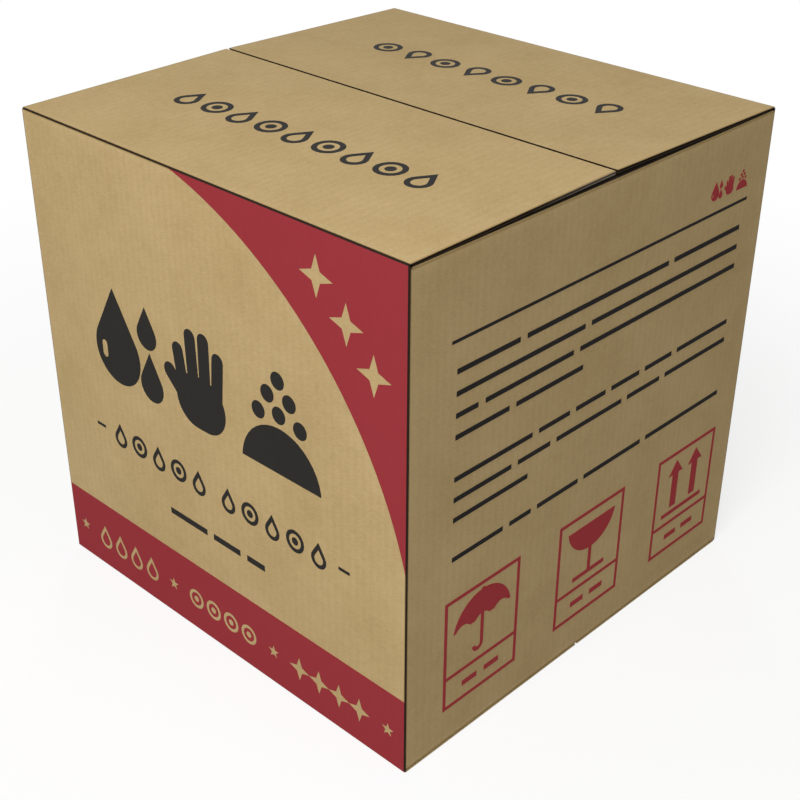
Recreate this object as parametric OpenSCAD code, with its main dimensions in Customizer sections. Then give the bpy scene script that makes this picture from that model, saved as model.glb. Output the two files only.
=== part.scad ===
// Corrugated carton of hand cleaning powder, closed by two loose top flaps.
// The front panel faces -Y and the panel with the handling marks faces +X.
// The origin is on the floor under the middle of the carton, and all sizes are millimetres.

/* [Carton] */
// Outside length of the front and rear panels
carton_l = 180; // [170:1:240]
// Outside length of the two side panels
carton_w = 180; // [170:1:240]
// Height of the creases on which the outer top flaps turn
carton_h = 180; // [176:1:240]
// Thickness of the corrugated board
board_t = 1.1; // [1:0.1:2]

/* [Folds and flaps] */
// Distance from a folded corner to each side of its sunken crease
crease = 0.5; // [0.4:0.05:0.8]
// The same distance at the folded top of a side panel
top_crease = 0.25; // [0.15:0.05:0.6]
// How much further in the bottom of a crease lies than its sides
crease_sink = 0.15; // [0.1:0.05:0.3]
// Gap where two flaps meet
seam_gap = 1.2; // [0.4:0.1:3]
// How far an outer flap stops short of the side panels' faces, at each end
flap_inset = 0.2; // [0.1:0.1:2]
// Slot between an inner flap and the panel beside it
slot_gap = 1.5; // [0.5:0.1:4]
// Height by which the outer flaps spring up where they meet
flap_rise = 1.5; // [0.5:0.1:6]
// Width of the glued lap inside the rear left corner
lap_w = 30; // [15:1:40]
// Distance from the ends of the lap to the top and bottom flaps
lap_end = 3; // [1:0.5:8]
// How far the rear panel's cut edge stops short of the left panel's face
lap_inset = 0.3; // [0.1:0.1:0.8]

/* [Powder bag] */
// Gap between the filled bag and the walls around it
bag_gap = 3; // [2:0.5:8]
// Height of the bag's upright sides
bag_side_h = 140; // [90:1:150]
// Height of the sloping shoulders above the sides
bag_crown_h = 14; // [6:1:18]
// Radius of the bag's upright corners
bag_corner_r = 18; // [8:1:30]
// Width of the bag's heat-sealed fin, folded down on top
fin_w = 24; // [12:1:40]
// Thickness of the folded fin
fin_t = 2; // [1:0.5:3]

/* [Print] */
// Thickness of the ink
ink_t = 0.06; // [0.04:0.01:0.1]
// Height of the red band along the bottom of the front panel
band_h = 30; // [24:1:36]
// Radius of the arc that bounds the red corner field
arc_r = 142; // [141:0.5:150]
// Distance of the arc's centre from the top and the right edge of the front panel
arc_back = 137.6; // [132:0.1:138]
// Size of each large mark
title_s = 37; // [30:1:38]
// Spacing of the large marks
title_pitch = 38.6; // [38:0.1:40]
// Distance of the middle large mark to the left of the panel's middle
title_left = 3.3; // [0:0.1:8]
// Distance from the row of small marks up to the middle of the large marks
title_up = 41.3; // [36:0.1:44]
// Size of each mark in that row
row_s = 10; // [8:0.5:11]
// Spacing of the marks in that row
row_pitch = 11; // [10.5:0.1:11.4]
// Length of the dash at each end of that row
row_dash = 5; // [3:0.5:8]
// Distance from the short bars up to the middle of that row
row_up = 19.2; // [14:0.1:22]
// Width that the short bars take
bars_w = 50; // [40:1:70]
// Thickness of the short bars
bars_t = 2.4; // [1.6:0.1:5]
// Distance from the red band up to the middle of the short bars
bars_up = 18; // [12:0.1:20]
// Size of the sparkles in the red corner field
sparkle_s = 14; // [10:0.5:16]
// Distance of their middles outside the arc
sparkle_out = 17; // [14:0.5:20]
// Height of the stars and small marks in the red band above the floor
band_mark_z = 14; // [10:0.5:18]
// Distance of the outer stars from the ends of the red band
star_end = 7.2; // [5:0.2:10]
// Size of the small marks between the stars
band_mark_s = 10; // [8:0.2:10.6]
// Spacing of those small marks
band_pitch = 9.6; // [9.2:0.1:10]
// Width of the print on the side panel
side_print_w = 151; // [140:1:156]
// Distance of that print from the middle of the side panel, towards the rear
side_shift = 3; // [0:0.5:4]
// Distance from the top edge of the side panel to the black rule
rule_drop = 28.5; // [20:0.5:30]
// Thickness of the black rule
rule_t = 1.1; // [0.6:0.1:2]
// Size of the three red marks above the rule
small_title_s = 6.8; // [5:0.1:9]
// Distance from the rule down to the first line of bars
line_drop = 10; // [7:0.5:11]
// Distance from the frames up to the last line of bars
line_foot = 15.9; // [8:0.1:20]
// Distance of the bars from the ends of the rule
line_inset = 2.5; // [1:0.5:6]
// Gap between two bars of a line
line_gap = 3.2; // [2:0.1:5]
// Thickness of those bars
line_t = 1.8; // [1.2:0.1:3.5]
// Width of each frame around a handling mark
frame_w = 36.6; // [36:0.1:46]
// Height of each frame
frame_h = 44; // [42:0.5:46]
// Height of the frames above the floor
frame_z = 14.6; // [10:0.1:16]
// Height of the empty caption box at the bottom of a frame
caption_h = 12.8; // [10:0.1:13]
// Thickness of the frames' lines
frame_t = 1.4; // [0.8:0.1:2]
// Size of each handling mark
handling_s = 28; // [22:0.5:29]
// Distance from the line over the caption box up to the mark
handling_gap = 2.9; // [1.5:0.1:4]
// Size of the marks on the top flaps
flap_mark_s = 13; // [10:0.5:13]
// Spacing of the marks on the front flap
front_flap_pitch = 13.5; // [13.2:0.1:16]
// Spacing of the marks on the rear flap
rear_flap_pitch = 14.6; // [13.2:0.1:18]

/* [Hidden] */
$fn = 48;
over = 1;
kraft = "#bda574";
red = "#9b353b";
black = "#32312f";
film = "#d9dde0";
inside_l = carton_l - 2 * board_t;
inside_w = carton_w - 2 * board_t;
inner_top = carton_h - board_t;
bag_l = inside_l - 2 * bag_gap;
bag_w = inside_w - 2 * bag_gap;
bag_z = 2 * board_t;
flap_len = carton_w / 2 - seam_gap / 2;
flap_tilt = asin(flap_rise / flap_len);
flap_l = carton_l - 2 * flap_inset;
printed_l = carton_l - 2 * crease;
star_pitch = (printed_l - 2 * star_end) / 3;
bars_z = band_h + bars_up;
row_z = bars_z + row_up;
title_z = row_z + title_up;
rule_z = inner_top - rule_drop;
line_z = rule_z - line_drop;
line_steps = 9;
line_pitch = (line_z - frame_z - frame_h - line_foot) / line_steps;

// A printed disc, with as many straight sides as its size needs
module disc(r) {
    n = r > 8 ? 40 : r > 2 ? 20 : 12;
    polygon([for (i = [0:n - 1]) r * [cos(360 * i / n), sin(360 * i / n)]]);
}

// A straight stroke with round ends, from p to q
module stroke(p, q, r) {
    d = q - p;
    translate(p) rotate(atan2(d.y, d.x)) {
        translate([0, -r]) square([norm(d), 2 * r]);
        disc(r);
        translate([norm(d), 0]) disc(r);
    }
}

// The part of a circle that rises by h over a chord of width w, with the chord on the X axis
module cap(w, h) {
    r = w * w / (8 * h) + h / 2;
    intersection() {
        translate([0, h - r]) disc(r);
        translate([-w, 0]) square([2 * w, w]);
    }
}

// A water drop of radius r that is h tall, centred on its height
module drop(h, r) {
    a = asin(r / (h - r));
    translate([0, r - h / 2]) {
        disc(r);
        polygon([[-r * cos(a), r * sin(a)], [r * cos(a), r * sin(a)], [0, h - r]]);
    }
}

// The same drop drawn as a line of width w
module drop_line(h, r, w) {
    difference() {
        drop(h, r);
        translate([0, r - h / 2]) scale((r - w) / r) translate([0, h / 2 - r]) drop(h, r);
    }
}

// A soap bubble: a ring of width w with a dot in it
module bubble(r, w) {
    difference() {
        disc(r);
        disc(r - w);
    }
    disc(w);
}

// A star with n points of radius r, cut in to radius r * waist between them
module star(n, r, waist) {
    polygon([for (i = [0:2 * n - 1]) (i % 2 == 0 ? r : r * waist) * [sin(180 * i / n), cos(180 * i / n)]]);
}

// A row of n small marks, drops and bubbles in turn, each in a square of side s
module mark_row(n, pitch, s) {
    for (i = [0:n - 1])
        translate([(i - (n - 1) / 2) * pitch, 0])
            if (i % 2 == 0)
                drop_line(s, 0.35 * s, 0.15 * s);
            else
                bubble(0.43 * s, 0.15 * s);
}

// Large mark of falling water, drawn in a square of side 37
module water_mark() {
    difference() {
        translate([-6, 0]) drop(37, 12.5);
        stroke([-13.5, -5], [-13.5, -9], 1.4);
    }
    translate([12.3, -9]) drop(19, 6.2);
    translate([11.6, 9.5]) drop(16, 5.3);
}

// Large mark of an open hand, drawn in a square of side 37
module hand_mark() {
    stroke([-2.5, -8.5], [2.5, -8.5], 10);
    for (f = [[-10.4, 8], [-3.6, 15], [3.2, 15.7], [10, 11]])
        stroke([f.x * 0.85, -4], f, 2.8);
    stroke([-8, -9], [-15.4, -1.6], 3.1);
}

// Large mark of a heap of powder with grains falling on it, drawn in a square of side 37
module powder_mark() {
    translate([0, -18.5]) cap(37, 17);
    for (g = [[-9.6, 1.6], [0, 3.2], [9.6, 1.6], [-5, 9.2], [5, 9.2], [0, 15.4]])
        translate(g) disc(3.1);
}

// The three large marks, scaled so that each is s high
module title_marks(s, pitch) {
    translate([-pitch, 0]) scale(s / 37) water_mark();
    scale(s / 37) hand_mark();
    translate([pitch, 0]) scale(s / 37) powder_mark();
}

// A line of bars of thickness h that starts at x = 0, split by gaps, with the widths given
module bar_line(widths, gap, h) {
    for (i = [0:len(widths) - 1])
        translate([sum_to(widths, i) + i * gap, -h / 2]) square([widths[i], h]);
}

function sum_to(v, n) = n == 0 ? 0 : v[n - 1] + sum_to(v, n - 1);

// Lays ink drawn upright on the front panel, with x = 0 in its middle and y = 0 on the floor
module on_front() {
    translate([0, -carton_w / 2, 0]) rotate([90, 0, 0]) linear_extrude(ink_t) children();
}

// Lays ink drawn upright on the right panel, with x = 0 in the middle of its print
module on_side() {
    translate([carton_l / 2, side_shift, 0]) rotate([90, 0, 90]) linear_extrude(ink_t) children();
}

// Places what is built on the front crease, with +Y towards the seam, on the raised flap
module on_front_crease() {
    translate([0, -carton_w / 2, carton_h]) rotate([flap_tilt, 0, 0]) children();
}

// Cutter for the crease along a folded corner: the corner runs along Z through the origin
// and the board lies towards +X and +Y, with the crease's sides at a distance c
module crease_cut(length, c = crease) {
    bottom = c + crease_sink;
    linear_extrude(length + 2 * over, center = true)
        polygon([[-over, -over], [c, -over], [c, 0], [bottom, bottom], [0, c], [-over, c]]);
}

// Walls, the glued floor of four flaps and the two closed inner top flaps, before cutting
module blank_body() {
    difference() {
        translate([-carton_l / 2, -carton_w / 2, 0]) cube([carton_l, carton_w, inner_top]);
        translate([-inside_l / 2, -inside_w / 2, 2 * board_t])
            cube([inside_l, inside_w, inner_top - 3 * board_t]);
    }
    for (turn = [0, 180])
        rotate([0, 0, turn])
            translate([-flap_l / 2, -carton_w / 2, inner_top - over])
                rotate([90, 0, 90])
                    linear_extrude(flap_l)
                        polygon([
                            [0, 0], [board_t, 0], [board_t, over - crease],
                            [0, over + board_t - crease]
                        ]);
    translate([-inside_l / 2, inside_w / 2 - board_t, 2 * board_t + lap_end])
        cube([lap_w, board_t, inner_top - 3 * board_t - 2 * lap_end]);
}

// Slots and seams between the flaps
module flap_cuts() {
    translate([-seam_gap / 2, -inside_w / 2, inner_top - board_t - over])
        cube([seam_gap, inside_w, board_t + 2 * over]);
    translate([-seam_gap / 2, -inside_w / 2, board_t]) cube([seam_gap, inside_w, board_t + over]);
    for (side = [-1, 1])
        translate([0, side * (inside_w - slot_gap) / 2, inner_top - board_t / 2])
            cube([inside_l, slot_gap, board_t + 2 * over], center = true);
    translate([-carton_l / 2 - over, -seam_gap / 2, -over])
        cube([carton_l + 2 * over, seam_gap, board_t + over]);
    for (side = [-1, 1])
        translate([side * (carton_l + over - flap_inset) / 2, 0, (board_t - over) / 2])
            cube([flap_inset + over, carton_w + 2 * over, board_t + over], center = true);
}

// Sunken creases along every folded corner except those on which the outer flaps turn
module creases() {
    for (side = [-1, 1])
        mirror([side == 1 ? 1 : 0, 0, 0])
            translate([-carton_l / 2, -carton_w / 2, carton_h / 2]) crease_cut(carton_h);
    translate([carton_l / 2, carton_w / 2, carton_h / 2]) rotate([0, 0, 180]) crease_cut(carton_h);
    translate([-carton_l / 2, carton_w / 2 - board_t, carton_h / 2])
        rotate([0, 0, -90]) crease_cut(carton_h);
    translate([-carton_l / 2 - over, carton_w / 2 - board_t, -over])
        cube([lap_inset + over, board_t + over, carton_h + 2 * over]);
    for (side = [-1, 1])
        mirror([side == 1 ? 1 : 0, 0, 0]) {
            translate([-carton_l / 2, 0, board_t]) rotate([90, 0, 0]) crease_cut(carton_w);
            translate([-carton_l / 2, 0, inner_top])
                rotate([-90, 0, 0]) crease_cut(carton_w, top_crease);
        }
    for (side = [-1, 1])
        mirror([0, side == 1 ? 1 : 0, 0])
            translate([0, -carton_w / 2, 0]) rotate([0, -90, 0]) crease_cut(carton_l);
}

module carton() {
    color(kraft)
        difference() {
            blank_body();
            flap_cuts();
            creases();
        }
}

// An outer flap: its near edge is bevelled to fold over the panel, its far edge is the seam
module top_flap() {
    color(kraft)
        on_front_crease()
            translate([-flap_l / 2, 0, 0])
                rotate([90, 0, 90])
                    linear_extrude(flap_l)
                        polygon([
                            [crease, 0], [crease + board_t, -board_t],
                            [flap_len, -board_t], [flap_len, 0]
                        ]);
}

module top_flap_front() {
    top_flap();
}

module top_flap_rear() {
    rotate([0, 0, 180]) top_flap();
}

// Outline of the filled bag from above, drawn in by inset on every side
module bag_outline(inset) {
    l = bag_l / 2 - bag_corner_r;
    w = bag_w / 2 - bag_corner_r;
    r = bag_corner_r - inset;
    square([2 * l, 2 * (w + r)], center = true);
    square([2 * (l + r), 2 * w], center = true);
    for (x = [-l, l], y = [-w, w])
        translate([x, y]) circle(r);
}

// The powder in its sealed liner bag, one solid: upright sides, sloping shoulders, folded fin
module powder_bag() {
    crown_inset = bag_corner_r / 2;
    color(film)
        translate([0, 0, bag_z]) {
            linear_extrude(bag_side_h) bag_outline(0);
            hull() {
                translate([0, 0, bag_side_h - over]) linear_extrude(over) bag_outline(0);
                translate([0, 0, bag_side_h + bag_crown_h - over])
                    linear_extrude(over) bag_outline(crown_inset);
            }
            translate([0, 0, bag_side_h + bag_crown_h + fin_t / 2 - over / 2])
                cube([bag_l - 4 * bag_corner_r, fin_w, fin_t + over], center = true);
        }
}

// Red corner field outside the arc, with three sparkles left bare along it
module corner_field() {
    corner = [carton_l / 2, carton_h];
    centre = corner - [arc_back, arc_back];
    difference() {
        translate(centre) square(arc_back - crease);
        translate(centre) circle(arc_r, $fn = 180);
        for (a = [50.4, 44.5, 38.6])
            translate(centre + (arc_r + sparkle_out) * [cos(a), sin(a)])
                star(4, sparkle_s / 2, 0.36);
    }
}

// Red band along the bottom, with stars and three groups of four small marks left bare
module band() {
    s = band_mark_s;
    difference() {
        translate([-printed_l / 2, crease]) square([printed_l, band_h - crease]);
        for (i = [-1.5:1.5]) {
            translate([i * star_pitch, band_mark_z]) star(5, 0.28 * s, 0.4);
            translate([-star_pitch + i * band_pitch, band_mark_z])
                drop_line(1.04 * s, 0.36 * s, 0.13 * s);
            translate([i * band_pitch, band_mark_z]) bubble(0.4 * s, 0.13 * s);
            translate([star_pitch + i * band_pitch, band_mark_z]) star(4, 0.5 * s, 0.36);
        }
    }
}

module front_red_print() {
    color(red)
        on_front() {
            corner_field();
            band();
        }
}

module front_black_print() {
    color(black)
        on_front() {
            translate([-title_left, title_z]) title_marks(title_s, title_pitch);
            for (side = [-1, 1]) {
                translate([side * 2.7 * row_pitch, row_z]) mark_row(5, row_pitch, row_s);
                translate([side * 5.75 * row_pitch, row_z])
                    square([row_dash, 0.12 * row_s], center = true);
            }
            translate([-bars_w / 2, bars_z])
                bar_line([0.4, 0.28, 0.18] * bars_w, 0.07 * bars_w, bars_t);
        }
}

// Umbrella 28 wide, drawn with its middle on the Y axis and its lowest point on the X axis
module umbrella_mark() {
    difference() {
        translate([0, 13]) cap(28, 11.5);
        for (i = [-1:1])
            translate([i * 9.4, 10.5]) disc(4.2);
    }
    translate([-0.8, 2.8]) square([1.6, 12]);
    translate([0, 23]) square([1.6, 4], center = true);
    translate([-1.9, 2.8])
        intersection() {
            difference() {
                disc(2.7);
                disc(1.1);
            }
            translate([-3, -3]) square([6, 3]);
        }
}

// Stemmed glass, drawn the same way
module glass_mark() {
    translate([0, 22]) rotate(180) cap(26.4, 10.9);
    translate([-0.9, 1]) square([1.8, 11]);
    translate([-9, 0]) square([18, 1.8]);
}

// Two arrows that point up from a bar, drawn the same way
module up_mark() {
    for (x = [-6.2, 6.2])
        translate([x, 3.4]) {
            translate([-1.95, 0]) square([3.9, 15]);
            polygon([[-4.5, 14.4], [4.5, 14.4], [0, 20.3]]);
        }
    translate([-12.8, 0]) square([25.6, 1.8]);
}

// Frame with a caption box below that holds two short bars, and a mark above
module framed() {
    difference() {
        translate([-frame_w / 2, 0]) square([frame_w, frame_h]);
        translate([-frame_w / 2 + frame_t, frame_t])
            square([frame_w - 2 * frame_t, caption_h - 1.5 * frame_t]);
        translate([-frame_w / 2 + frame_t, caption_h + frame_t / 2])
            square([frame_w - 2 * frame_t, frame_h - caption_h - 1.5 * frame_t]);
    }
    translate([-frame_w / 4, caption_h / 2 + frame_t / 4])
        bar_line([0.2, 0.2] * frame_w, 0.1 * frame_w, 0.06 * frame_w);
    translate([0, caption_h + frame_t / 2 + handling_gap]) scale(handling_s / 28) children();
}

module side_red_print() {
    step = (side_print_w - frame_w) / 2;
    color(red)
        on_side() {
            translate([-step, frame_z]) framed() umbrella_mark();
            translate([0, frame_z]) framed() glass_mark();
            translate([step, frame_z]) framed() up_mark();
            translate([side_print_w / 2 - 1.8 * small_title_s, rule_z + 1.2 * small_title_s])
                title_marks(small_title_s, 1.13 * small_title_s);
        }
}

module side_black_print() {
    text_w = side_print_w - 2 * line_inset;
    // Shares of the width that the bars of each line take, and the number of steps down to it
    lines = [
        [[0.2, 0.52, 0.28], 0], [[0.42, 0.58], 1], [[0.07, 0.3, 0.63], 2], [[0.17, 0.23], 3],
        [[0.28, 0.12, 0.12, 0.12, 0.12, 0.24], 5], [[0.2, 0.12, 0.26, 0.14, 0.28], 6], [[0.24], 7],
        [[0.18, 0.08, 0.16, 0.24, 0.34], line_steps]
    ];
    color(black)
        on_side() {
            translate([0, rule_z]) square([side_print_w, rule_t], center = true);
            for (l = lines) {
                fill = text_w - (len(l[0]) - 1) * line_gap;
                translate([-text_w / 2, line_z - l[1] * line_pitch])
                    bar_line(l[0] * fill, line_gap, line_t);
            }
        }
}

module front_flap_print() {
    color(black)
        on_front_crease()
            translate([-1, flap_len / 2, 0])
                linear_extrude(ink_t) mark_row(9, front_flap_pitch, flap_mark_s);
}

module rear_flap_print() {
    color(black)
        rotate([0, 0, 180])
            on_front_crease()
                translate([-1, flap_len / 2, 0])
                    linear_extrude(ink_t) mark_row(8, rear_flap_pitch, flap_mark_s);
}

carton();
powder_bag();
top_flap_front();
top_flap_rear();
front_red_print();
front_black_print();
side_red_print();
side_black_print();
front_flap_print();
rear_flap_print();
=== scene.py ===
import math

import bpy
from mathutils import Matrix, Vector, noise


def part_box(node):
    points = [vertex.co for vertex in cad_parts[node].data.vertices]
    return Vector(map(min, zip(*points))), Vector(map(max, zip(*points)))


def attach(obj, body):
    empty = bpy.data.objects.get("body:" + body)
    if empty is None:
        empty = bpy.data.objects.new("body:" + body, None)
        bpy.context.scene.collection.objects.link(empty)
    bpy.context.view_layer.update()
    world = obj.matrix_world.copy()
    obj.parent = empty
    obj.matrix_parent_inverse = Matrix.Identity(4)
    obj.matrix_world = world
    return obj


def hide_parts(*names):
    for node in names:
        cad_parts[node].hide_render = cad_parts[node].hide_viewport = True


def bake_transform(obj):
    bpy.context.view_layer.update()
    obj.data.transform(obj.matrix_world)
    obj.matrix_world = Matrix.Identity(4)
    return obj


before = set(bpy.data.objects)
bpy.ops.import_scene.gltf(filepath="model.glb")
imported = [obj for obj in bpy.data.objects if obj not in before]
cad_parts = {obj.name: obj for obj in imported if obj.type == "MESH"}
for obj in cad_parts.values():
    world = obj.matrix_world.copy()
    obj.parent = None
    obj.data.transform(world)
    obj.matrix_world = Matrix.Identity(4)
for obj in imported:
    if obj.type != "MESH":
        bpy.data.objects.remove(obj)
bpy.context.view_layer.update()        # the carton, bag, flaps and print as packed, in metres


# The camera looks down on the corner between the front and the right panel, as the
# photograph does. Its lens and place are fitted to six corners of the carton and the seam.
azimuth = math.radians(43.76)
elevation = math.radians(30.06)
roll = math.radians(0.37)
eye = Vector((0.32164, -0.33522, 0.33471))
camera_data = bpy.data.cameras.new("camera")
camera_data.sensor_width = 36
camera_data.lens = 64.03
camera = bpy.data.objects.new("camera", camera_data)
bpy.context.scene.collection.objects.link(camera)
camera.matrix_world = (
    Matrix.Translation(eye)
    @ Matrix.Rotation(azimuth, 4, "Z")
    @ Matrix.Rotation(math.pi / 2 - elevation, 4, "X")
    @ Matrix.Rotation(roll, 4, "Z")
)
bpy.context.scene.camera = camera
bpy.context.scene.view_settings.view_transform = "Standard"


# The four wall panels and the glued lap. They are E-flute corrugated board: a kraft liner on
# each side of a waved sheet, whose flutes stand upright. One blank is cut and creased flat,
# folded round, and its lap is glued inside the rear left corner.
mm = 0.001
half = 90 * mm          # from the middle of the carton to a panel's face
height = 180 * mm       # of the creases on which the outer top flaps turn
board = 1.1 * mm        # thickness of the board
fold = 0.5 * mm         # from a folded corner to the flat part of a panel
top_fold = 0.25 * mm    # the same at the shallower folds of the inner top flaps
liner = 0.22 * mm       # thickness of a liner
medium = 0.16 * mm      # thickness of the waved sheet
flute = 3.2 * mm        # length of one wave
fibre_height = 0.03 * mm    # relief of the paper's fibres
cut_back = 0.3 * mm     # how far the rear panel's cut edge stops short of the left face
lap_width = 30 * mm
lap_ends = 5.2 * mm     # from the lap's ends to the floor and to the inner flaps' top
X, Y, Z = Vector((1, 0, 0)), Vector((0, 1, 0)), Vector((0, 0, 1))


def linear(code):
    """The linear colour of an sRGB hex code."""
    channels = [int(code[i:i + 2], 16) / 255 for i in (1, 3, 5)]
    return [c / 12.92 if c <= 0.04045 else ((c + 0.055) / 1.055) ** 2.4 for c in channels] + [1]


def set_inputs(material, node, inputs):
    """Sets a node's inputs, each to a value or another node's output."""
    for name, value in inputs.items():
        if isinstance(value, bpy.types.NodeSocket):
            material.node_tree.links.new(value, node.inputs[name])
        else:
            node.inputs[name].default_value = value


def add_node(material, kind, inputs=None, **settings):
    """Adds a node with its settings and inputs."""
    made = material.node_tree.nodes.new(kind)
    for name, value in settings.items():
        setattr(made, name, value)
    set_inputs(material, made, inputs or {})
    return made


def new_material(name):
    """An empty material with its shader and output joined, and its object coordinates."""
    material = bpy.data.materials.new(name)
    material.use_nodes = True
    material.node_tree.nodes.clear()
    shader = add_node(material, "ShaderNodeBsdfPrincipled")
    add_node(material, "ShaderNodeOutputMaterial", {"Surface": shader.outputs[0]})
    place = add_node(material, "ShaderNodeTexCoord").outputs["Object"]
    return material, shader, place


def paper_tone(material, place, flutes_across):
    """The tone of kraft paper over fluting, around 0.5: clouds of pulp, fine mottling, stray
    fibres and faint stripes where the liner sinks between the flutes. Also its fibres' relief."""
    cloud_share, mottling_share, fibre_share, stripe_share = 0.5, 0.3, 0.3, 0.06
    # Each noise lies around 0.5, and three of them make the fibres
    start = 0.5 - 0.5 * (cloud_share + mottling_share + 3 * fibre_share)
    clouds = add_node(material, "ShaderNodeTexNoise", {
        "Vector": place, "Scale": 1 / (26 * mm), "Detail": 2.0, "Roughness": 0.5}).outputs[0]
    mottling = add_node(material, "ShaderNodeTexNoise", {
        "Vector": place, "Scale": 1 / (4 * mm), "Detail": 3.0, "Roughness": 0.6}).outputs[0]
    tone = add_node(material, "ShaderNodeMath", {0: clouds, 1: cloud_share, 2: start},
                    operation="MULTIPLY_ADD").outputs[0]
    tone = add_node(material, "ShaderNodeMath", {0: mottling, 1: mottling_share, 2: tone},
                    operation="MULTIPLY_ADD").outputs[0]
    # Real fibres are finer than a hair, and are drawn 4 mm long and 0.5 mm wide so that they show
    relief = None
    for turn in ((0.3, 1.3, 0.2), (1.2, 0.3, 0.9), (0.8, 2.2, 2.0)):
        lay = add_node(material, "ShaderNodeMapping", {
            "Vector": place, "Rotation": turn, "Scale": (0.5 * mm, 0.5 * mm, 4 * mm)},
            vector_type="TEXTURE").outputs[0]
        fibre = add_node(material, "ShaderNodeTexNoise", {
            "Vector": lay, "Scale": 1.0, "Detail": 1.0, "Roughness": 0.5}).outputs[0]
        relief = fibre if relief is None else add_node(
            material, "ShaderNodeMath", {0: relief, 1: fibre}, operation="ADD").outputs[0]
    tone = add_node(material, "ShaderNodeMath", {0: relief, 1: fibre_share, 2: tone},
                    operation="MULTIPLY_ADD").outputs[0]
    sides = add_node(material, "ShaderNodeSeparateXYZ", {0: place}).outputs
    phase = add_node(material, "ShaderNodeMath", {
        0: sides[flutes_across], 1: 2 * math.pi / flute}, operation="MULTIPLY").outputs[0]
    wave = add_node(material, "ShaderNodeMath", {0: phase}, operation="COSINE").outputs[0]
    faded = add_node(material, "ShaderNodeMath", {0: wave, 1: clouds},
                     operation="MULTIPLY").outputs[0]
    tone = add_node(material, "ShaderNodeMath", {0: faded, 1: stripe_share, 2: tone},
                    operation="MULTIPLY_ADD").outputs[0]
    relief = add_node(material, "ShaderNodeMath", {0: faded, 1: 0.5, 2: relief},
                      operation="MULTIPLY_ADD").outputs[0]
    return tone, relief


def edge_distance(material, place, set_in):
    """How far a point on the carton's outside lies from the nearest of its folded edges. The
    side panels are folded at their top and bottom by set_in lower and higher than the others."""
    sides = add_node(material, "ShaderNodeSeparateXYZ", {0: place}).outputs
    away = []
    for axis, middle, reach in (
            (0, 0, half), (1, 0, half), (2, height / 2, height / 2 - set_in)):
        offset = add_node(material, "ShaderNodeMath", {0: sides[axis], 1: middle},
                          operation="SUBTRACT").outputs[0]
        offset = add_node(material, "ShaderNodeMath", {0: offset},
                          operation="ABSOLUTE").outputs[0]
        away.append(add_node(material, "ShaderNodeMath", {0: reach, 1: offset},
                             operation="SUBTRACT").outputs[0])
    lower = add_node(material, "ShaderNodeMath", {0: away[0], 1: away[1]},
                     operation="MINIMUM").outputs[0]
    upper = add_node(material, "ShaderNodeMath", {0: away[0], 1: away[1]},
                     operation="MAXIMUM").outputs[0]
    middle = add_node(material, "ShaderNodeMath", {0: upper, 1: away[2]},
                      operation="MINIMUM").outputs[0]
    return add_node(material, "ShaderNodeMath", {0: lower, 1: middle},
                    operation="MAXIMUM").outputs[0]


# Brown kraft linerboard, unbleached and machine finished: matt and fibrous, with cloudy pulp.
# It is rubbed a little paler beside its folds, and painted darker right beside them as shade at the
# fold.
rub_from, rub_to = 0.8 * mm, 3.5 * mm   # distances from a fold between which the rubbing fades
rub_share = 0.1                         # how much paler the rubbed paper is


def kraft_liner(name, flutes_across, dark, light, set_in=0.0, shade_width=1 * mm, shade_tone=None):
    """A liner with its flutes' axis and its two tones. A strip beside its folds is painted darker
    as shade; the last two arguments give its width and its tone, if that isn't the dark one."""
    material, shader, place = new_material(name)
    tone, relief = paper_tone(material, place, flutes_across)
    away = edge_distance(material, place, set_in)
    rubbed = add_node(material, "ShaderNodeMapRange", {
        0: away, 1: rub_from, 2: rub_to, 3: rub_share, 4: 0.0}).outputs[0]
    tone = add_node(material, "ShaderNodeMath", {0: tone, 1: rubbed}, operation="ADD").outputs[0]
    colour = add_node(material, "ShaderNodeMix", {
        0: tone, 6: linear(dark), 7: linear(light)}, data_type="RGBA").outputs[2]
    # The strip right beside the folds is painted darker, as shade at the fold
    painted_shade = add_node(material, "ShaderNodeMapRange", {
        0: away, 1: shade_width * 0.7, 2: shade_width, 3: 1.0, 4: 0.0}).outputs[0]
    colour = add_node(material, "ShaderNodeMix", {
        0: painted_shade, 6: colour, 7: linear(shade_tone or dark)}, data_type="RGBA").outputs[2]
    bump = add_node(material, "ShaderNodeBump", {
        "Height": relief, "Distance": fibre_height, "Strength": 0.6}).outputs[0]
    set_inputs(material, shader, {
        "Base Color": colour, "Normal": bump, "Roughness": 0.86, "Specular IOR Level": 0.3})
    return material


kraft_x = kraft_liner("kraft_liner_flutes_across_x", 0, "#a88d5b", "#d0b686")
kraft_y = kraft_liner("kraft_liner_flutes_across_y", 1, "#a88d5b", "#d0b686", board)
plain_x = kraft_liner("inside_liner_flutes_across_x", 0, "#97805a", "#bda883")
plain_y = kraft_liner("inside_liner_flutes_across_y", 1, "#97805a", "#bda883", board)
# On the inner top flaps a wider strip beside the fold is painted nearly black, as the shade under
# the outer flaps' ends
inner_flap_painted_shade_y = kraft_liner("kraft_painted_shade_flutes_across_y", 1, "#a88d5b", "#d0b686", board,
                       shade_width=3 * mm, shade_tone="#2a2117")


seam_tone_from, seam_tone_to = -40 * mm, -2 * mm  # places across the front flap between which its cut ends turn grey


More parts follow.
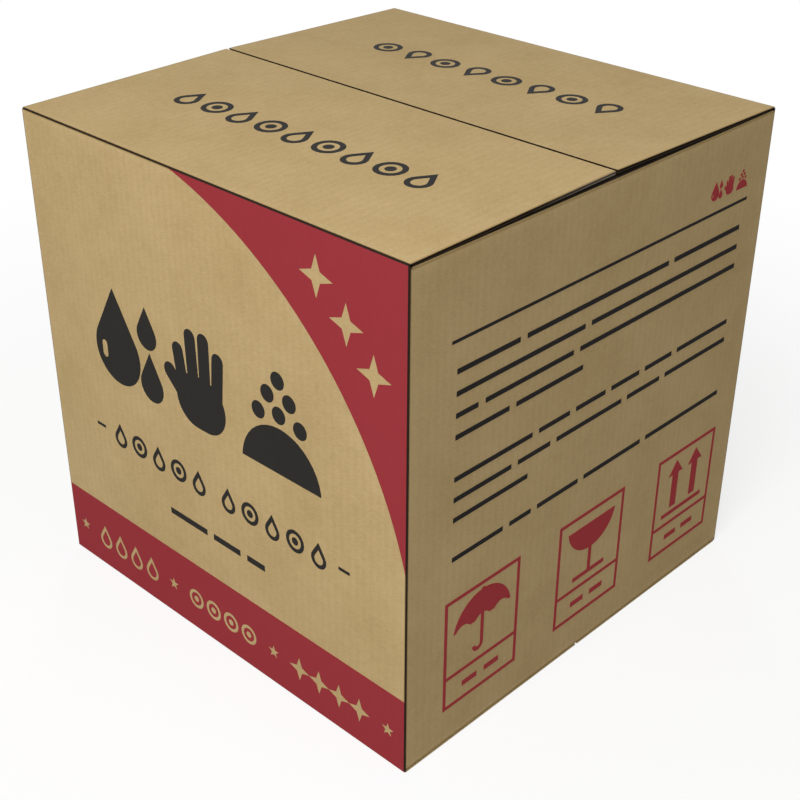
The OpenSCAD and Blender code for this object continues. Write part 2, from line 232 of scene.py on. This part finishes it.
def dull_paper(name, dark, light, seam_tone=None):
    """Paper at a cut or a crease. On the front flap it may turn grey towards the seam."""
    material, shader, place = new_material(name)
    tone = paper_tone(material, place, 2)[0]
    colour = add_node(material, "ShaderNodeMix", {
        0: tone, 6: linear(dark), 7: linear(light)}, data_type="RGBA").outputs[2]
    if seam_tone:
        sides = add_node(material, "ShaderNodeSeparateXYZ", {0: place}).outputs
        near = add_node(material, "ShaderNodeMapRange", {
            0: sides[1], 1: seam_tone_from, 2: seam_tone_to, 3: 0.0, 4: 1.0}).outputs[0]
        colour = add_node(material, "ShaderNodeMix", {
            0: near, 6: colour, 7: linear(seam_tone)}, data_type="RGBA").outputs[2]
    set_inputs(material, shader, {
        "Base Color": colour, "Roughness": 0.95, "Specular IOR Level": 0.2})
    return material


# Recycled fluting paper: thinner, a little darker and rougher than the liners, seen only at cut
# edges, and painted nearly black as the shade in the hollows between the liners
fluting_painted_shade = dull_paper("recycled_fluting_painted_shade", "#1f170f", "#352919")
# The liners' cut edges: torn fibre, painted nearly black as the shade at the board's cut ends,
# which draws a dark outline
cut_edge_painted_shade = dull_paper("cut_paper_edge_painted_shade", "#21180f", "#3d2e1e")


def select(piece, wanted):
    """Goes into edit mode with only the vertices whose place is wanted selected."""
    bpy.ops.object.mode_set(mode="OBJECT")
    for parts in (piece.data.polygons, piece.data.edges, piece.data.vertices):
        parts.foreach_set("select", [False] * len(parts))
    for vertex in piece.data.vertices:
        vertex.select = wanted(vertex.co)
    bpy.ops.object.mode_set(mode="EDIT")


def begin(primitive, extents, **settings):
    """Adds a primitive alone in the selection, stretched to its extents, with its place applied."""
    bpy.ops.object.select_all(action="DESELECT")
    primitive(size=1, **settings)
    bpy.context.object.scale = extents
    bpy.ops.object.transform_apply(location=True, rotation=True, scale=True)
    return bpy.context.object


def finish_with(piece, kind, **settings):
    """Gives a piece a modifier and applies it."""
    modifier = piece.modifiers.new(kind.lower(), kind)
    for name, value in settings.items():
        setattr(modifier, name, value)
    bpy.context.view_layer.objects.active = piece
    bpy.ops.object.modifier_apply(modifier=modifier.name)


def join(name, pieces):
    """Joins pieces into one mesh, under the name given."""
    bpy.ops.object.select_all(action="DESELECT")
    for piece in pieces:
        piece.select_set(True)
    bpy.context.view_layer.objects.active = pieces[0]
    bpy.ops.object.join()
    pieces[0].name = pieces[0].data.name = name
    return pieces[0]


def liner_sheet(u, v, top, upper, lower, edge):
    """A liner with its upper face at a height, from u[0] to u[1] and v[0] to v[1]."""
    sheet = begin(bpy.ops.mesh.primitive_plane_add, (u[1] - u[0], v[1] - v[0], 1),
                  location=((u[0] + u[1]) / 2, (v[0] + v[1]) / 2, top))
    for paper in (upper, lower, edge):
        sheet.data.materials.append(paper)
    finish_with(sheet, "SOLIDIFY", thickness=liner, offset=-1, material_offset=1,
                material_offset_rim=2)
    return sheet


def fluting(u, v, paper):
    """The waved sheet: one wave is shaped, repeated, cut to length and given its thickness."""
    first = math.floor(u[0] / flute) * flute
    steps = 8
    sheet = begin(bpy.ops.mesh.primitive_grid_add, (flute, v[1] - v[0], 1),
                  x_subdivisions=steps, y_subdivisions=1,
                  location=(first + flute / 2, (v[0] + v[1]) / 2, -board / 2))
    swing = board / 2 - liner - medium / 2
    for column in range(steps + 1):
        across = first + column * flute / steps
        select(sheet, lambda co: abs(co.x - across) < flute / (4 * steps))
        lift = swing * math.cos(2 * math.pi * column / steps)
        bpy.ops.transform.translate(value=(0, 0, lift))
    bpy.ops.object.mode_set(mode="OBJECT")
    finish_with(sheet, "ARRAY", count=math.ceil((u[1] - first) / flute),
                relative_offset_displace=(1, 0, 0), use_merge_vertices=True,
                merge_threshold=0.01 * mm)
    for end, side in ((u[0], -1), (u[1], 1)):
        select(sheet, lambda co: True)
        bpy.ops.mesh.bisect(plane_co=(end, 0, 0), plane_no=(side, 0, 0), clear_outer=True)
    bpy.ops.object.mode_set(mode="OBJECT")
    finish_with(sheet, "SOLIDIFY", thickness=medium, offset=0)
    bpy.ops.object.shade_smooth_by_angle(angle=math.radians(60))
    sheet.data.materials.append(paper)
    return sheet


def corrugated(name, origin, along, out, u, v, folded, papers):
    """A panel or flap of corrugated board. Its outer liner faces out, its flutes run along, and
    u and v are its extents across and along them. At a folded end the rest of the board stops
    its own thickness short: folded says which of u[0], u[1], v[0] and v[1] are such ends. The
    papers are those of the outer and the inner liner, their cut edges and the fluting."""
    outer, inner, edge, waved = papers
    back = [board if end else 0 for end in folded]
    inner_u = (u[0] + back[0], u[1] - back[1])
    inner_v = (v[0] + back[2], v[1] - back[3])
    piece = join(name, [
        liner_sheet(u, v, 0, outer, waved, edge),
        fluting(inner_u, (inner_v[0] - back[2] / 2, inner_v[1] + back[3] / 2), waved),
        liner_sheet(inner_u, inner_v, liner - board, waved, inner, edge)])
    across = along.cross(out)
    turn = Matrix((across, along, out)).transposed().to_4x4()
    piece.data.transform(Matrix.Translation(origin) @ turn)
    return piece


panel_v = (fold, height - fold)
side_v = (board + fold, height - board - top_fold)
side_papers = (kraft_x, plain_x, cut_edge_painted_shade, fluting_painted_shade)
end_papers = (kraft_y, plain_y, cut_edge_painted_shade, fluting_painted_shade)
walls = join("wall_panels", [
    corrugated("front", -half * Y, Z, -Y, (fold - half, half - fold), panel_v,
               (1, 1, 1, 1), side_papers),
    corrugated("rear", half * Y, Z, Y, (fold - half, half - cut_back), panel_v,
               (1, 0, 1, 1), side_papers),
    corrugated("right", half * X, Z, X, (fold - half, half - fold), side_v,
               (1, 1, 1, 1), end_papers),
    corrugated("left", -half * X, Z, -X, (board + fold - half, half - fold), side_v,
               (1, 1, 1, 1), end_papers),
    corrugated("lap", (half - board) * Y, Z, Y, (half - board - lap_width, half - fold),
               (lap_ends, height - lap_ends), (0, 1, 0, 0), side_papers)])
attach(walls, "carton")
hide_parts("carton")


# The glued bottom: two inner flaps folded in from the sides and two outer ones over them, all
# meeting in the middle. The carton stands on the outer two.
seam = 0.6 * mm         # from the middle to each flap's free edge
inset = 0.2 * mm        # how far an outer flap stops short at each end
flap_v = (fold, half - seam)
flap_folds = (0, 0, 1, 0)
outer_u = (inset - half, half - inset)
# The ends of the outer two, which carry the pack, are painted pale, close to the kraft's own
# colour, as light that lifts the shade beside the floor
bottom_edge_painted_light = dull_paper("paper_edge_painted_light", "#b09764", "#d0b683")
bottom_papers_painted_light = (kraft_x, plain_x, bottom_edge_painted_light, bottom_edge_painted_light)
bottom = join("bottom_flaps", [
    corrugated("bottom", -half * Y, Y, -Z, outer_u, flap_v, flap_folds, bottom_papers_painted_light),
    corrugated("bottom", half * Y, -Y, -Z, outer_u, flap_v, flap_folds, bottom_papers_painted_light),
    corrugated("bottom", half * X + board * Z, -X, -Z, (2 * board - half, half - 2 * board),
               flap_v, flap_folds, end_papers),
    corrugated("bottom", board * Z - half * X, X, -Z, (2 * board - half, half - 2 * board),
               flap_v, flap_folds, end_papers)])
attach(bottom, "carton")


# The two inner top flaps, folded in from the side panels under the outer ones. A slot on each
# side keeps them clear of the front and rear panels.
slot = 1.5 * mm
inner_u = (board + slot - half, half - board - slot)
inner_v = (top_fold, half - seam)
inner_flaps = join("inner_top_flaps", [
    corrugated("inner", half * X + (height - board) * Z, -X, Z, inner_u, inner_v,
               flap_folds, (inner_flap_painted_shade_y,) + end_papers[1:]),
    corrugated("inner", (height - board) * Z - half * X, X, Z, inner_u, inner_v,
               flap_folds, (inner_flap_painted_shade_y,) + end_papers[1:])])
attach(inner_flaps, "carton")


# The folds. Each panel is creased before it is folded, so that its outer liner sinks into the
# corner in a narrow groove instead of standing proud; most creases are painted nearly black
# as the shade in that groove. One crease is shaped and copied.
crease_length = 1.0
# Kraft liner crushed by the creasing rule, painted nearly black as the shade in its groove.
crease_painted_shade = dull_paper("kraft_crease_painted_shade", "#1b130c", "#2e2117")

# The end of the liner below the corner is spun a quarter turn to its end beside the corner
sunk = 0.02 * mm        # keeps the crease's thickness behind both panels' faces
crushed_to = 0.12 * mm  # thickness of the liner in a crease
crease_master = begin(bpy.ops.mesh.primitive_plane_add, (crease_length, fold, 1),
                      location=(0, sunk - fold / 2, -fold))
select(crease_master, lambda co: co.y < sunk - fold / 2)
bpy.ops.mesh.delete(type="VERT")
select(crease_master, lambda co: True)
bpy.ops.mesh.spin(steps=6, angle=-math.pi / 2, center=(0, sunk, -sunk), axis=(1, 0, 0))
bpy.ops.object.mode_set(mode="OBJECT")
finish_with(crease_master, "SOLIDIFY", thickness=crushed_to, offset=-1)
select(crease_master, lambda co: True)
bpy.ops.mesh.normals_make_consistent(inside=False)
bpy.ops.object.mode_set(mode="OBJECT")
bpy.ops.object.shade_smooth_by_angle(angle=math.radians(40))
crease_master.data.materials.append(crease_painted_shade)
# The creases round the bottom are painted pale, close to the kraft's own colour, as light that
# lifts the shade beside the floor
bottom_crease_painted_light = dull_paper("kraft_crease_painted_light", "#a08757", "#c0a672")
# Those of the inner top flaps are sharp, and painted a little darker than the panels as shade,
# which tones down the light on their rounding
top_crease_painted_shade = dull_paper("kraft_top_crease_painted_shade", "#86714a", "#a1895d")


def crease(name, corner, over, wall, length, width=fold, paper=crease_painted_shade):
    """A crease between a panel that lies towards wall and one that lies towards over."""
    piece = crease_master.copy()
    piece.data = crease_master.data.copy()
    piece.data.materials[0] = paper
    piece.name = name
    bpy.context.scene.collection.objects.link(piece)
    run = over.cross(-wall)
    turn = Matrix((run, over, -wall)).transposed().to_4x4()
    stretch = Matrix.Diagonal((length / crease_length, width / fold, width / fold, 1))
    piece.data.transform(Matrix.Translation(corner) @ turn @ stretch)
    return piece


front, rear, left, right = -half * Y, half * Y, -half * X, half * X
upright, crosswise, between = height - 2 * fold, 2 * (half - fold), 2 * (half - board)
folds = join("fold_creases", [
    crease("fold", front + right + height / 2 * Z, Y, -X, upright),
    crease("fold", front + left + height / 2 * Z, Y, X, upright),
    crease("fold", rear + right + height / 2 * Z, -Y, -X, upright),
    crease("fold", rear + left + height / 2 * Z - board * Y, -Y, X, upright - 2 * board),
    crease("fold", right + (height - board) * Z, -X, -Z, between, top_fold, top_crease_painted_shade),
    crease("fold", left + (height - board) * Z, X, -Z, between, top_fold, top_crease_painted_shade),
    crease("fold", right + board * Z, -X, Z, between, paper=bottom_crease_painted_light),
    crease("fold", left + board * Z, X, Z, between, paper=bottom_crease_painted_light),
    crease("fold", front, Y, Z, crosswise, paper=bottom_crease_painted_light),
    crease("fold", rear, -Y, Z, crosswise, paper=bottom_crease_painted_light)])
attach(folds, "carton")


# The two outer top flaps. They are creased to the front and rear panels, meet in the middle and
# spring up a little there, because nothing holds them down.
rise = 1.5 * mm
tilt = math.asin(rise / (half - seam))
# The front one's cut ends are painted nearly black as shade, and turn grey towards the seam
flap_edge_painted_shade = dull_paper("flap_paper_edge_painted_shade", "#21180f", "#3d2e1e", seam_tone="#867b6e")
flap_papers_painted_shade = (kraft_x, plain_x, flap_edge_painted_shade, flap_edge_painted_shade)
for place_name, face, towards, papers in (
        ("front", front, Y, flap_papers_painted_shade), ("rear", rear, -Y, side_papers)):
    along = math.cos(tilt) * towards + math.sin(tilt) * Z
    out = math.cos(tilt) * Z - math.sin(tilt) * towards
    flap = corrugated(place_name + "_top_flap", face + height * Z, along, out,
                      outer_u, flap_v, flap_folds, papers)
    body = place_name + "_flap"
    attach(flap, body)
    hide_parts("top_flap_" + place_name)
    # The crease that the flap turns on is the outer liner, carried over from the panel
    hinge = crease(place_name + "_flap_crease", face + height * Z, towards, -Z, crosswise)
    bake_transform(hinge)
bpy.data.objects.remove(crease_master)


# The sealed liner bag with its powder, which nobody sees while the carton is closed. It is a
# tube of cloudy polyethylene film, filled and pressed square by the carton as the powder
# settles, and heat sealed across the top in a fin that is folded down.
# Blown low-density polyethylene: milky, half glossy, and wrinkled all over by its loose fit.
film, shader, place = new_material("blown_polyethylene_film")
haze = add_node(film, "ShaderNodeTexNoise", {
    "Vector": place, "Scale": 1 / (12 * mm), "Detail": 3.0}).outputs[0]
colour = add_node(film, "ShaderNodeMix", {
    0: haze, 6: linear("#b7bcbf"), 7: linear("#d6d9db")}, data_type="RGBA").outputs[2]
hanging = add_node(film, "ShaderNodeMapping", {
    "Vector": place, "Scale": (20 * mm, 20 * mm, 46 * mm)}, vector_type="TEXTURE").outputs[0]
puckers = add_node(film, "ShaderNodeTexNoise", {
    "Vector": hanging, "Scale": 1.0, "Detail": 2.0, "Roughness": 0.5, "Distortion": 0.8},
    noise_type="RIDGED_MULTIFRACTAL").outputs[0]
bump = add_node(film, "ShaderNodeBump", {
    "Height": puckers, "Distance": 2.5 * mm, "Strength": 1.0}).outputs[0]
set_inputs(film, shader, {"Base Color": colour, "Normal": bump, "Roughness": 0.3})

bag_low, bag_high = (Vector(corner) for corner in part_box("powder_bag"))
fin_size = Vector((98, 23, 2)) * mm
slack = 4 * mm          # how far the film may move as the powder swells it
rounding = 16 * mm      # width of the rounding along the bag's edges
mesh_size = 4.5 * mm    # of the film while it is simulated
settling = 20           # frames in which the film comes to rest
crease_apart = 19 * mm  # typical distance between the film's creases
crease_depth = 1.1 * mm
crease_sharpness = 10
fin_sheet = 0.4 * mm    # thickness of the fin, which is folded double
bag_low += slack * Vector((1, 1, 1))
bag_high -= Vector((slack, slack, slack + fin_size.z))
bag = begin(bpy.ops.mesh.primitive_cube_add, bag_high - bag_low,
            location=(bag_low + bag_high) / 2)
finish_with(bag, "BEVEL", width=rounding, segments=4)
finish_with(bag, "REMESH", mode="VOXEL", voxel_size=mesh_size)
loose = [(vertex.co.copy(), vertex.normal.copy()) for vertex in bag.data.vertices]
cloth = bag.modifiers.new("film", "CLOTH")
cloth.settings.use_pressure = True
cloth.settings.uniform_pressure_force = 4
cloth.settings.effector_weights.gravity = 0
cloth.settings.shrink_min = -0.06       # the film is cut larger than its fill, so it wrinkles
cloth.settings.bending_stiffness = 0.05
for step in range(1, settling + 1):
    bpy.context.scene.frame_set(step)
bpy.context.view_layer.objects.active = bag
bpy.ops.object.modifier_apply(modifier=cloth.name)
bpy.context.scene.frame_set(1)
# The carton's walls hold it square: its edges draw in much less than its faces bulge
for vertex, (before, outward) in zip(bag.data.vertices, loose):
    move = vertex.co - before
    most = slack if move.dot(outward) > 0 else 0.3 * slack
    if move.length > most:
        vertex.co = before + most * move.normalized()
finish_with(bag, "SUBSURF", levels=1, render_levels=1)
# Upright creases, where the slack film is caught against the powder
outwards = [vertex.normal.copy() for vertex in bag.data.vertices]
for vertex, outward in zip(bag.data.vertices, outwards):
    x, y, z = vertex.co / crease_apart
    ridge = 1 - abs(noise.noise(Vector((x, y, 0.4 * z))))
    vertex.co -= crease_depth * ridge ** crease_sharpness * outward

# The fin is folded down over itself and lies in shallow waves, flattest along its seal
long_wave, short_wave = 7 * mm, 3.1 * mm
fin = begin(bpy.ops.mesh.primitive_grid_add, (fin_size.x, fin_size.y, 1), x_subdivisions=48,
            y_subdivisions=12, location=(0, 0, bag_high.z + slack + fin_size.z / 2))
for vertex in fin.data.vertices:
    sealed = (vertex.co.y / fin_size.y + 0.5) ** 2
    lie = math.sin(vertex.co.x / long_wave) + 0.5 * math.sin(vertex.co.x / short_wave + 1)
    vertex.co.z += 0.3 * fin_size.z * lie / 1.5 * (1 - sealed)
finish_with(fin, "SOLIDIFY", thickness=fin_sheet, offset=0)
for piece in (bag, fin):
    piece.data.materials.clear()
    piece.data.materials.append(film)
bag = join("sealed_powder_bag", [bag, fin])
bpy.ops.object.shade_smooth_by_angle(angle=math.radians(50))
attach(bag, "carton")
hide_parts("powder_bag")


# The print: one red and one black, laid on the flat blank by a flexographic plate. It is water
# based ink, thin and matt, which sinks into the paper and leaves the tops of its fibres bare.
def printing_ink(name, flutes_across, ink, bare):
    """An ink and the tone to which it wears, over a liner with its flutes' axis."""
    material, shader, place = new_material(name)
    tone, relief = paper_tone(material, place, flutes_across)
    worn = add_node(material, "ShaderNodeMapRange", {0: tone, 1: 0.2, 2: 0.9, 3: 0.0, 4: 0.08})
    colour = add_node(material, "ShaderNodeMix", {
        0: worn.outputs[0], 6: linear(ink), 7: linear(bare)}, data_type="RGBA").outputs[2]
    bump = add_node(material, "ShaderNodeBump", {
        "Height": relief, "Distance": fibre_height, "Strength": 0.6}).outputs[0]
    set_inputs(material, shader, {
        "Base Color": colour, "Normal": bump, "Roughness": 0.75, "Specular IOR Level": 0.2})
    return material


red_x = printing_ink("red_flexo_ink_across_x", 0, "#972e36", "#b5594f")
# The red on the side panel is a paler copy of the same ink, painted light to lift the half shade
# there
red_ink_painted_light_y = printing_ink("red_flexo_ink_painted_light_across_y", 1, "#a63339", "#b5594f")
black_x = printing_ink("black_flexo_ink_across_x", 0, "#232220", "#4c4436")
black_y = printing_ink("full_black_flexo_ink_across_y", 1, "#1c1a19", "#3c352b")
black_top = printing_ink("full_black_flexo_ink_across_x", 0, "#1c1a19", "#3c352b")
for node, ink in (
        ("front_red_print", red_x), ("front_black_print", black_x),
        ("side_red_print", red_ink_painted_light_y), ("side_black_print", black_y),
        ("front_flap_print", black_top), ("rear_flap_print", black_top)):
    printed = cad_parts[node]
    printed.data.materials.clear()
    printed.data.materials.append(ink)


# The studio: a pale floor that runs on into white, a broad soft lamp in front of the carton on
# its left, and even light from all round, so that the right panel stays in half shade.
floor_size = 12
floor_drop = 0.1 * mm       # keeps the floor clear of the bottom flaps
shadow_from, shadow_to = 0.13, 0.45     # metres from the middle over which the shadow fades
glow_share = 0.75           # how much of the shadowed floor's colour is its own white
floor = begin(bpy.ops.mesh.primitive_grid_add, (floor_size, floor_size, 1), x_subdivisions=8,
              y_subdivisions=8, location=(0, 0, -floor_drop))
floor.name = "studio_floor"
paint, shader, place = new_material("matt_white_floor")
ray = add_node(paint, "ShaderNodeLightPath").outputs["Is Camera Ray"]
coat = add_node(paint, "ShaderNodeMix", {
    0: ray, 6: linear("#a9a8a6"), 7: linear("#ffffff")}, data_type="RGBA").outputs[2]
set_inputs(paint, shader, {"Base Color": coat, "Roughness": 0.9})
glow = add_node(paint, "ShaderNodeEmission", {"Color": linear("#ffffff"), "Strength": 1.0})
# The floor keeps the shadow near the carton, and runs on into white further off
away = add_node(paint, "ShaderNodeVectorMath", {0: place}, operation="LENGTH").outputs["Value"]
share = add_node(paint, "ShaderNodeMapRange", {
    0: away, 1: shadow_from, 2: shadow_to, 3: glow_share, 4: 1.0}).outputs[0]
share = add_node(paint, "ShaderNodeMath", {0: share, 1: ray}, operation="MULTIPLY").outputs[0]
lit = add_node(paint, "ShaderNodeMixShader", {
    0: share, 1: shader.outputs[0], 2: glow.outputs[0]}).outputs[0]
output = [n for n in paint.node_tree.nodes if n.type == "OUTPUT_MATERIAL"][0]
paint.node_tree.links.new(lit, output.inputs["Surface"])
floor.data.materials.append(paint)


def soft_lamp(name, size, energy, place, target):
    """A round soft lamp that is aimed at a point."""
    data = bpy.data.lights.new(name, "AREA")
    data.shape = "DISK"
    data.size = size
    data.energy = energy
    lamp = bpy.data.objects.new(name, data)
    bpy.context.scene.collection.objects.link(lamp)
    lamp.location = place
    lamp.rotation_euler = (Vector(target) - lamp.location).to_track_quat("-Z", "Y").to_euler()


soft_lamp("soft_lamp", 0.7, 12.6, (0.342, -0.766, 0.899), (0.03, -0.05, 0.12))
# A weaker one behind on the left keeps the far side from going dark
soft_lamp("fill_lamp", 0.25, 4, (-0.75, 0.7, 0.1), (0, 0, 0.09))

world = bpy.data.worlds.new("studio")
bpy.context.scene.world = world
world.use_nodes = True
world.node_tree.nodes.clear()
rays = add_node(world, "ShaderNodeLightPath").outputs
seen = add_node(world, "ShaderNodeMath", {0: rays["Is Camera Ray"], 1: rays["Is Glossy Ray"]},
                operation="MAXIMUM").outputs[0]
seen = add_node(world, "ShaderNodeMath", {0: seen, 1: rays["Is Transmission Ray"]},
                operation="MAXIMUM").outputs[0]
strength = add_node(world, "ShaderNodeMapRange", {0: seen, 3: 0.2, 4: 1.0}).outputs[0]
sky = add_node(world, "ShaderNodeBackground", {"Color": linear("#ffffff"), "Strength": strength})
add_node(world, "ShaderNodeOutputWorld", {"Surface": sky.outputs[0]})
